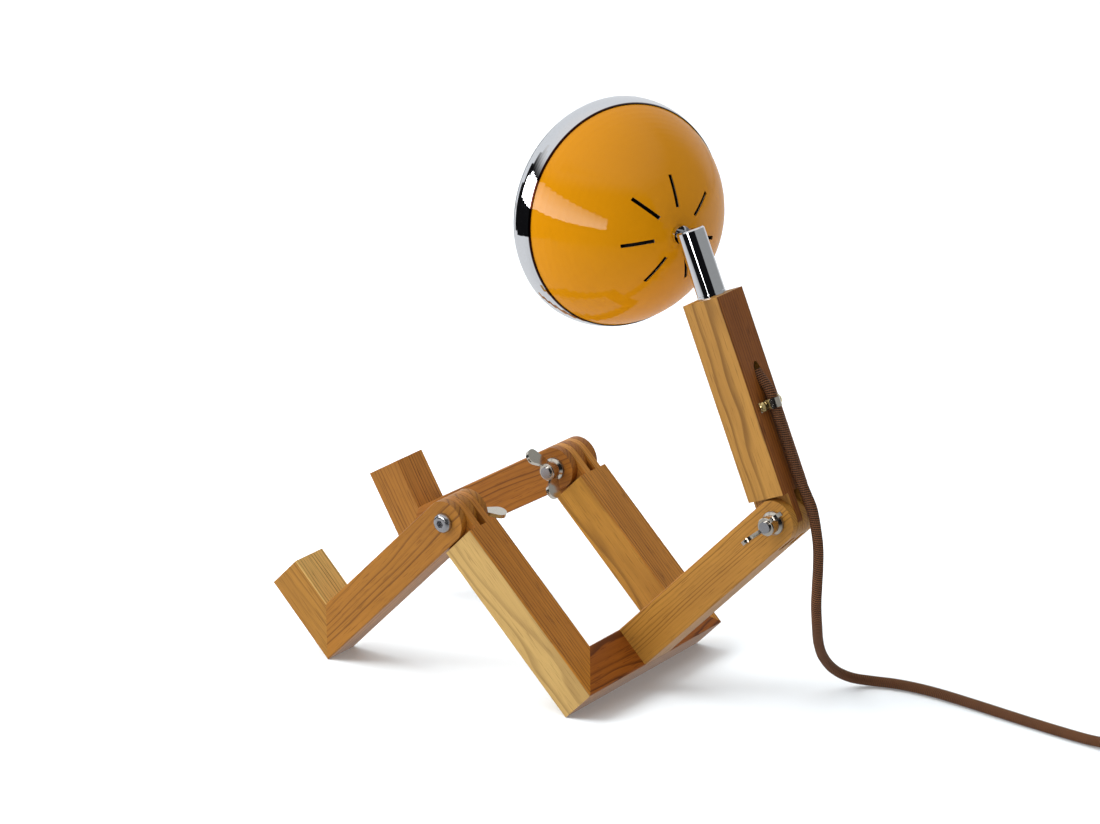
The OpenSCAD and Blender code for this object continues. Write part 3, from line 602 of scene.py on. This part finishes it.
def lacquer(name, colour, shade, inside, vent_side_shade):
    """Clear-coated outside, matt inside, and painted shade where a vent cuts the wall."""
    material, start, shader = finish(name, {"Coat Roughness": 0.03, "Specular IOR Level": 0.0})
    place = start.node("ShaderNodeTexCoord", out="Object")
    across, over, ahead = head_axes(place)
    reach = (across ** 2.0 + over ** 2.0) ** 0.5 / WALL_RADIUS
    depth = 1 - (ahead - WALL_START) / WALL_DEPTH
    shell = reach ** SHELL_POWER + depth.maths("MAXIMUM", depth, 0.0) ** SHELL_POWER
    outside = shell.between(0.997, 1.003)
    vent_shade_mask = shell.between(0.9915, 0.9945)
    outer = blended(place.noise(14.0, 2.0), tint(colour), tint(shade))
    # The cut sides of the vents get painted shade.
    inner = blended(vent_shade_mask, tint(inside), tint(vent_side_shade))
    feed(shader,
         Base_Color=inner.mix(outer, outside),
         Coat_Weight=outside * 0.5,
         Roughness=0.7 - outside * 0.35,
         Normal=place.noise(900.0, 2.0).bump(0.03, 0.0002))
    return material


# 0c0806 is the painted shade on the vents' cut sides.
cover(lacquer("mustard_lacquer", "e4970f", "dd900c", "ddd8cc", "0c0806"), "head_bowl")
print("bowl lacquered")

# %% [markdown]
# ## Chrome and plainer metals
#
# The ring, neck and stem are polished chrome: almost a mirror, with the faintest
# unevenness. A plain grey mirror looks drawn, so a fine noise moves both the
# colour and the roughness a little. Painted shade darkens the ring's two seams, where it
# meets the bowl and where its bead begins; the one at the bowl is dark red, a painted
# reflection of the lacquer as well. It is painted at their depths along
# the head's axis, because a seam is too fine to be worth its own faces.

# %% Metals
SEAM_TO_BOWL = (81.5, 1.0, "30120a")    # depth and half width in mm, and the colour of its painted shade, dark red as a painted reflection of the lacquer
# The crease before the bead, dark with painted shade.
SEAM_TO_BEAD = (98.25, 0.85, "0a0a0c")


def metal(name, colour, roughness, scratch=0.03, seams=()):
    """Bare metal with the faintest unevenness, and painted shade in seams at depths along the head's
    axis.
    """
    material, start, shader = finish(name, {"Metallic": 1.0})
    place = start.node("ShaderNodeTexCoord", out="Object")
    grainy = place.noise(600.0, 3.0)
    clean = blended(grainy, tint(colour), shaded(colour, 0.9))
    for depth, half_width, seam_shade in seams:
        away = (head_axes(place)[2] - depth).maths("ABSOLUTE")
        # Painted shade in a seam, and at the bowl a painted reflection of the lacquer.
        clean = clean.mix(tint(seam_shade), 1 - away.between(half_width * 0.6, half_width))
    feed(shader, Base_Color=clean, Roughness=grainy * scratch + roughness)
    return material


cover(metal("polished_chrome", "e4e6ea", 0.02, 0.02),
      "neck_tube", "neck_cap", "neck_collar", "head_stem")
cover(metal("ring_chrome", "e4e6ea", 0.02, 0.02, (SEAM_TO_BOWL, SEAM_TO_BEAD)), "head_ring")
cover(metal("bolt_steel", "b4b4b8", 0.14, 0.1), "left_knee_bolt", "right_knee_bolt", "waist_bolt")
cover(metal("plated_nickel", "d8d2c6", 0.12, 0.08),
      "left_knee_wing_nut", "right_knee_wing_nut", "waist_wing_nut", "cord_clip", "plug_pins")
cover(metal("washer_steel", "b9b9bc", 0.24, 0.12),
      "left_knee_washer", "right_knee_washer", "waist_washer", "stem_nut", "bulb_base")
cover(metal("polished_brass", "e0c98c", 0.14, 0.08), "clip_screw")
print("metals on")

# %% [markdown]
# ## The vent baffle
#
# The bowl is white inside, as a reflector is, but its vents look black: a dish
# stands a little way inside the shell, and its black side shows through the slots
# as painted shade. A flat disc would show at the slots' ends, so it is turned from one outline, as
# on a lathe, that follows the shell's own curve. It is black towards the vents,
# which is painted shade, and white towards the bulb, which its surface normal tells apart.

# %% Turn a piece round the head's axis
def turned_piece(name, outline, sides=96):
    """A closed ring, from its outline of radius and depth along the head's axis in mm."""
    points = [ball + head_turn @ Vector((r * math.cos(a), r * math.sin(a), z)) / 1000
              for a in (2 * math.pi * k / sides for k in range(sides))
              for r, z in outline]
    count = len(outline)
    faces = []
    for k in range(sides):
        here = k * count
        beside = (k + 1) % sides * count
        for i in range(count):
            j = (i + 1) % count
            faces.append((here + i, here + j, beside + j, beside + i))
    piece = bpy.data.objects.new(name, bpy.data.meshes.new(name))
    piece.data.from_pydata([tuple(p) for p in points], [], faces)
    bpy.context.scene.collection.objects.link(piece)
    print(name, len(faces), "faces")
    return piece


# %% The baffle
BAFFLE_GAP = 5           # all in mm
BAFFLE_WALL = 0.8
DISH_RADII = range(15, 56, 4)    # from the lampholder to well past the vents


def shell_depth(r):
    """Depth of the shell's inner face at a radius, from the ball's centre."""
    curve = 1 - (1 - (r / BOWL_RADIUS) ** SHELL_POWER) ** (1 / SHELL_POWER)
    return BOWL_FLAT - FLAT_CUT + BOWL_WALL + BOWL_DEPTH * curve


dish = [(r, shell_depth(r) + BAFFLE_GAP) for r in DISH_RADII]
baffle = turned_piece("vent_shade_dish", dish + [(r, z + BAFFLE_WALL) for r, z in reversed(dish)])
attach(baffle, "head")
vent_shade_paint, start, shader = finish("vent_shade_paint", {"Roughness": 0.6})
# Black towards the vents: painted shade behind the slots.
facing_bulb = start.node("ShaderNodeTexCoord", out="Normal").dot(head_turn.col[2]).between(-0.1, 0.1)
speck = start.node("ShaderNodeTexCoord", out="Object").noise(300.0, 2.0) * 0.1
feed(shader, Base_Color=blended(facing_bulb * (1 - speck), tint("060606"), tint("ddd8cc")))
cover(vent_shade_paint, baffle)
print("baffle painted")

# %% [markdown]
# ## Plastics and glass
#
# The plug and switch are moulded in brown plastic, the bulb is opal glass. Real
# mouldings have a fine spark-eroded texture: too fine for a mesh, so it is a
# bump that also roughens the shine. Opal glass lets light in a little way and
# scatters it, which the shader's subsurface weight does.

# %% Plastics and glass
def plastic(name, colour, shade, roughness=0.35):
    """Moulded plastic with a fine texture."""
    material, start, shader = finish(name, {"IOR": 1.46})
    place = start.node("ShaderNodeTexCoord", out="Object")
    fine = place.noise(2500.0, 2.0)
    feed(shader,
         Base_Color=blended(place.noise(60.0, 2.0), tint(colour), tint(shade)),
         Roughness=fine * 0.1 + roughness,
         Normal=fine.bump(0.08, 0.0001))
    return material


cover(plastic("brown_moulding", "4a3226", "402a20"), "plug_body", "switch_bottom", "switch_top")
cover(plastic("dark_rocker", "2a1d17", "241813", 0.28), "switch_rocker")
cover(plastic("black_nylon", "1d1d1e", "161617", 0.45), "ball_seat", "coil_tie", "lamp_holder")
opal, start, shader = finish("opal_glass", {"Roughness": 0.12, "Subsurface Weight": 0.35,
                                            "Subsurface Radius": (0.01, 0.01, 0.01), "IOR": 1.5})
place = start.node("ShaderNodeTexCoord", out="Object")
feed(shader, Base_Color=blended(place.noise(40.0), tint("f4f2ea"), tint("efece2")))
cover(opal, "bulb_globe")
print("plastics and glass on")

# %% [markdown]
# ## The braid
#
# The cord's braid is two sets of threads wound in opposite directions. Modelled
# thread by thread it would outweigh the lamp. A stripe of a whole number of
# starts closes on itself round the cord, so two sets of stripes over the tube's
# own map do it: where a thread crosses over a rib, it stands proud and catches
# the light. Its pale colour there is a painted highlight, and the dark between
# the threads is painted shade.

# %% The braid
ROW = 1.5                # from one rib to the next, in mm along the cord
STARTS = 3               # ribs wound side by side
THREADS = 14             # finer threads that cross them


def braid(name, dark, pale):
    """Thick ribs that wind round the cord, crossed by finer threads the other way."""
    material, start, shader = finish(name, {"Specular IOR Level": 0.25})
    place = start.node("ShaderNodeUVMap", {"uv_map": "along_and_round"})
    along = place.dot((1 / ROW, 0, 0))
    around = place.dot((0, 1, 0))
    rib = (along + around * STARTS).fract() * 2 - 1
    thread = (along * 0.5 - around * THREADS).fract() * 2 - 1
    proud = (1 - rib ** 2.0) * (1 - thread ** 2.0 * 0.35)
    cloud = start.node("ShaderNodeTexCoord", out="Object").noise(90.0, 2.0)
    painted_rib_light = proud.between(0.2, 0.95) * (0.6 + cloud * 0.6)
    feed(shader,
         # Pale on proud threads, a painted highlight, and dark between them, painted shade.
         Base_Color=blended(painted_rib_light, tint(dark), tint(pale)),
         Roughness=0.78 - proud * 0.2,
         Normal=proud.bump(0.9, 0.0005))
    return material


cover(braid("brown_braid", "200f05", "8a5833"), cord)
print("cord braided")

# %% [markdown]
# ## The paper
#
# The lamp stands on a white sweep of paper. Lit alone it would turn grey away
# from the lights, so it glows a little, and only soft contact shadows show on it.
# It is darker to the lamp than to the camera, which keeps some of its light off
# the bowl's lower half: the Light Path node tells the two apart.

# %% Paper
PAPER_HALF = 12
PAPER_DROP = 0.0002      # the paper lies just under the lamp's lowest edge


def flat(name, corners):
    """A piece with one face."""
    piece = bpy.data.objects.new(name, bpy.data.meshes.new(name))
    piece.data.from_pydata(corners, [], [tuple(range(len(corners)))])
    bpy.context.scene.collection.objects.link(piece)
    return piece


def level_square(half, height):
    """The corners of a level square round the origin."""
    return [(-half, -half, height), (half, -half, height), (half, half, height), (-half, half, height)]


paper = flat("paper_sweep", level_square(PAPER_HALF, 0))
paper.location.z = -PAPER_DROP
white_paper, start, shader = finish("white_paper", {
    "Roughness": 0.9, "Emission Color": (1, 1, 1, 1), "Emission Strength": 0.13,
    "Specular IOR Level": 0.1})
seen_directly = start.node("ShaderNodeLightPath", out="Is Camera Ray")
feed(shader, Base_Color=blended(seen_directly, (0.52, 0.52, 0.52, 1), (0.75, 0.8, 0.83, 1)))
cover(white_paper, paper)
print("paper", 2 * PAPER_HALF, "m wide")

# %% [markdown]
# ## The sky and two softboxes
#
# A studio's light comes from large soft shapes. Each could be a lamp of its own,
# but a sky drawn from the direction alone is smooth and quick. It is bright
# before the lamp, on its left, beyond it and overhead, and dim behind its back,
# which darkens the back of the torso. One softbox adds the key light's direction,
# and a second one lights only the paper, through light linking.

# %% Sky
world = bpy.data.worlds.new("studio")
world.use_nodes = True
bpy.context.scene.world = world
way = Wire(world.node_tree).node("ShaderNodeTexCoord", out="Generated")
front_left = way.dot((-0.75, -0.65, 0.1)).between(-0.1, 0.75)
backdrop = way.dot((-0.59, 0.8, 0.08)).between(0.5, 0.8)
ceiling = way.dot((0, 0.2, 0.98)).between(0.80, 0.88)
white = 1 - (1 - front_left * 0.95) * (1 - backdrop)
sky = blended(white, tint("858588"), tint("ffffff")).mix((1.45, 1.45, 1.45, 1), ceiling)
print("sky drawn")

# %% Softboxes
def softbox(name, place, size, power):
    """A rectangular light that points at the lamp and doesn't show in reflections."""
    light = bpy.data.objects.new(name, bpy.data.lights.new(name, "AREA"))
    light.data.shape = "RECTANGLE"
    light.data.size, light.data.size_y = size
    light.data.energy = power
    light.location = place
    light.rotation_euler = (Vector((0, 0, 0.1)) - light.location).to_track_quat("-Z", "Y").to_euler()
    light.visible_glossy = False
    bpy.context.scene.collection.objects.link(light)
    print(name, power, "W")
    return light


softbox("key_softbox", (-2.0, -1.6, 1.8), (1.4, 1.0), 36)
paper_light = softbox("paper_light", (-1.2, -0.5, 2.0), (2.2, 2.0), 54)
only_paper = bpy.data.collections.new("lit_by_paper_light")
only_paper.objects.link(paper)
paper_light.light_linking.receiver_collection = only_paper

# %% [markdown]
# ## What polished surfaces show
#
# Chrome and lacquer show little but their surroundings, and a soft sky leaves
# them flat. So polished surfaces get a sky of their own: a pale wall before the
# lamp and a soft panel overhead. Round the lamp's left stand dark walls with a
# bright window between them and the lamp, and a card lies on the table. The cards
# could be real boards, but they would darken the lamp and the paper, so they are
# seen in reflections only.

# %% The sky in a polished surface
front_wall = way.dot((-0.94, 0.34, 0)).between(0, 0.35)
panel = way.dot((0, 0, 1)).between(0.67, 0.86)
mirrored = blended(front_wall, tint("9fa1a1"), tint("e8ebee")).mix((0.85, 0.85, 0.85, 1), panel)
in_mirror = way.node("ShaderNodeLightPath", out="Is Glossy Ray")
world.node_tree.links.new(sky.mix(mirrored, in_mirror).socket,
                          world.node_tree.nodes["Background"].inputs["Color"])
print("mirrored sky drawn")

# %% A card for reflections
def card(name, corners, colour, glow=1.0):
    """A glowing card seen only in reflections; its colour is a function of a place on it."""
    piece = flat(name, corners)
    for kind in ("camera", "diffuse", "shadow", "transmission", "volume_scatter"):
        setattr(piece, "visible_" + kind, False)
    material, start, shader = finish(name, {"Base Color": (0, 0, 0, 1), "Roughness": 1.0,
                                            "Emission Strength": glow, "Specular IOR Level": 0.0})
    feed(shader, Emission_Color=colour(start.node("ShaderNodeTexCoord", out="Object")))
    cover(material, piece)
    print(name, "stands" if len({z for _, _, z in corners}) > 1 else "lies")


def upright(one, other):
    """The corners of a card between two sides, each x, y, low and high."""
    return [(*one[:2], one[2]), (*other[:2], other[2]), (*other[:2], other[3]), (*one[:2], one[3])]


# %% Dark walls
WALL_HEIGHT = 1.35
WALL_EDGES = ((-79, 1.13), (-55, 1.13), (-30, 1.15), (0, 0.95), (30, 0.8), (66, 0.8))


def around(azimuth, distance):
    """A place on the floor round the lamp, at degrees from its left side."""
    a = math.radians(azimuth)
    return (0.1 + distance * math.sin(a), -distance * math.cos(a))


def wall_colour(place):
    """Black, and paler towards the top, where the ceiling's light reaches it."""
    paler = place.dot((0, 0, 1)).between(WALL_HEIGHT - 0.5, WALL_HEIGHT) * 0.75
    return blended(paler, tint("131315"), tint("ffffff"))


edges = [(*around(azimuth, distance), 0, WALL_HEIGHT) for azimuth, distance in WALL_EDGES]
for k, (one, other) in enumerate(zip(edges, edges[1:])):
    card("dark_wall_%d" % k, upright(one, other), wall_colour)

# %% Window
WINDOW_FRONT = (-0.955, -0.389, 0.476, 0.856)    # x, y, low and high, beside the lamp's front
WINDOW_BACK = (0.334, -0.814, 0.28, 0.463)       # and beside its back
WINDOW_GLOW = 11.0


def window_colour(place):
    """Brightest low down and towards the lamp's front."""
    front, _, front_low, front_high = WINDOW_FRONT
    back, _, back_low, back_high = WINDOW_BACK
    tall = front_high - front_low
    share = (place.dot((1, 0, 0)) - front) / (back - front)
    sill = front_low + share * (back_low - front_low)
    opening = tall + share * (back_high - back_low - tall)
    height = (place.dot((0, 0, 1)) - sill) / opening
    glow = (1 - height.between(0.1, 1.1) * 0.6) * (1 - share * 0.35)
    return blended(glow, tint("000000"), tint("ffffff"))


card("window_card", upright(WINDOW_FRONT, WINDOW_BACK), window_colour, WINDOW_GLOW)

# %% Table
TABLE_HALF = 4


def table_colour(place):
    """White paper that falls off behind the lamp's left."""
    return blended(place.dot((0.8, -0.6, 0)).between(-0.3, 0.75), tint("e6e8ea"), tint("6c6d70"))


card("table_card", level_square(TABLE_HALF, -PAPER_DROP / 2), table_colour)

# %% [markdown]
# ## Finish
#
# White paper should come out white and wood as its own colour, so the picture is
# shown without a film look.

# %% Finish
bpy.context.scene.view_settings.view_transform = "Standard"
